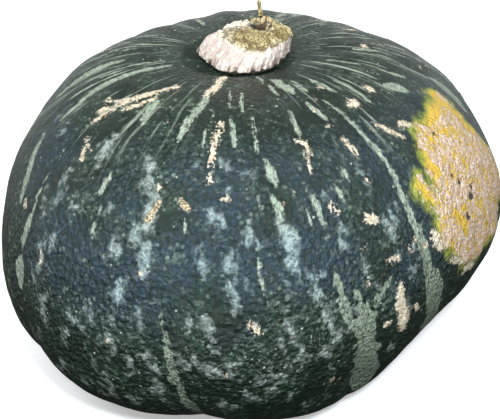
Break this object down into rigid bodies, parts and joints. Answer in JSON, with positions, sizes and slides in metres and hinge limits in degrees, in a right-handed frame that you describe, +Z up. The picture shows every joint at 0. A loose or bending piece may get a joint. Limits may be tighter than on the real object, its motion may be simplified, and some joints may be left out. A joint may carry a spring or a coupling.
{
  "type": "winter squash",
  "caption": "Lobed, flattened dark green winter squash with a pale ground patch, a corky cut stem and a dry splinter on it, resting on a small flat underside.",
  "frame": {"origin": "on the plane of the flat that the squash rests on, under the middle of its bounding box", "axes": "+Z up along the fruit's axis, towards the stem; -Y is the side shown to the front; +X is towards the pale ground patch"},
  "size_m": [0.1856, 0.2, 0.13],
  "materials": {
    "rind": "dark green waxy rind with a low gloss, pale green furrow stripes, feathery pale flecks, a yellow ground patch with pinkish tan cork on it, and cream corky scars",
    "stem_cork": "dry pinkish white cork with upright ribs and cracks, and a torn, granular cream and straw-yellow top",
    "stem_fibre": "dry straw-brown plant fibre, matt"
  },
  "bodies": {
    "root": {"squash_body": "rind", "stem": "stem_cork", "stem_splinter": "stem_fibre"}
  },
  "joints": []
}
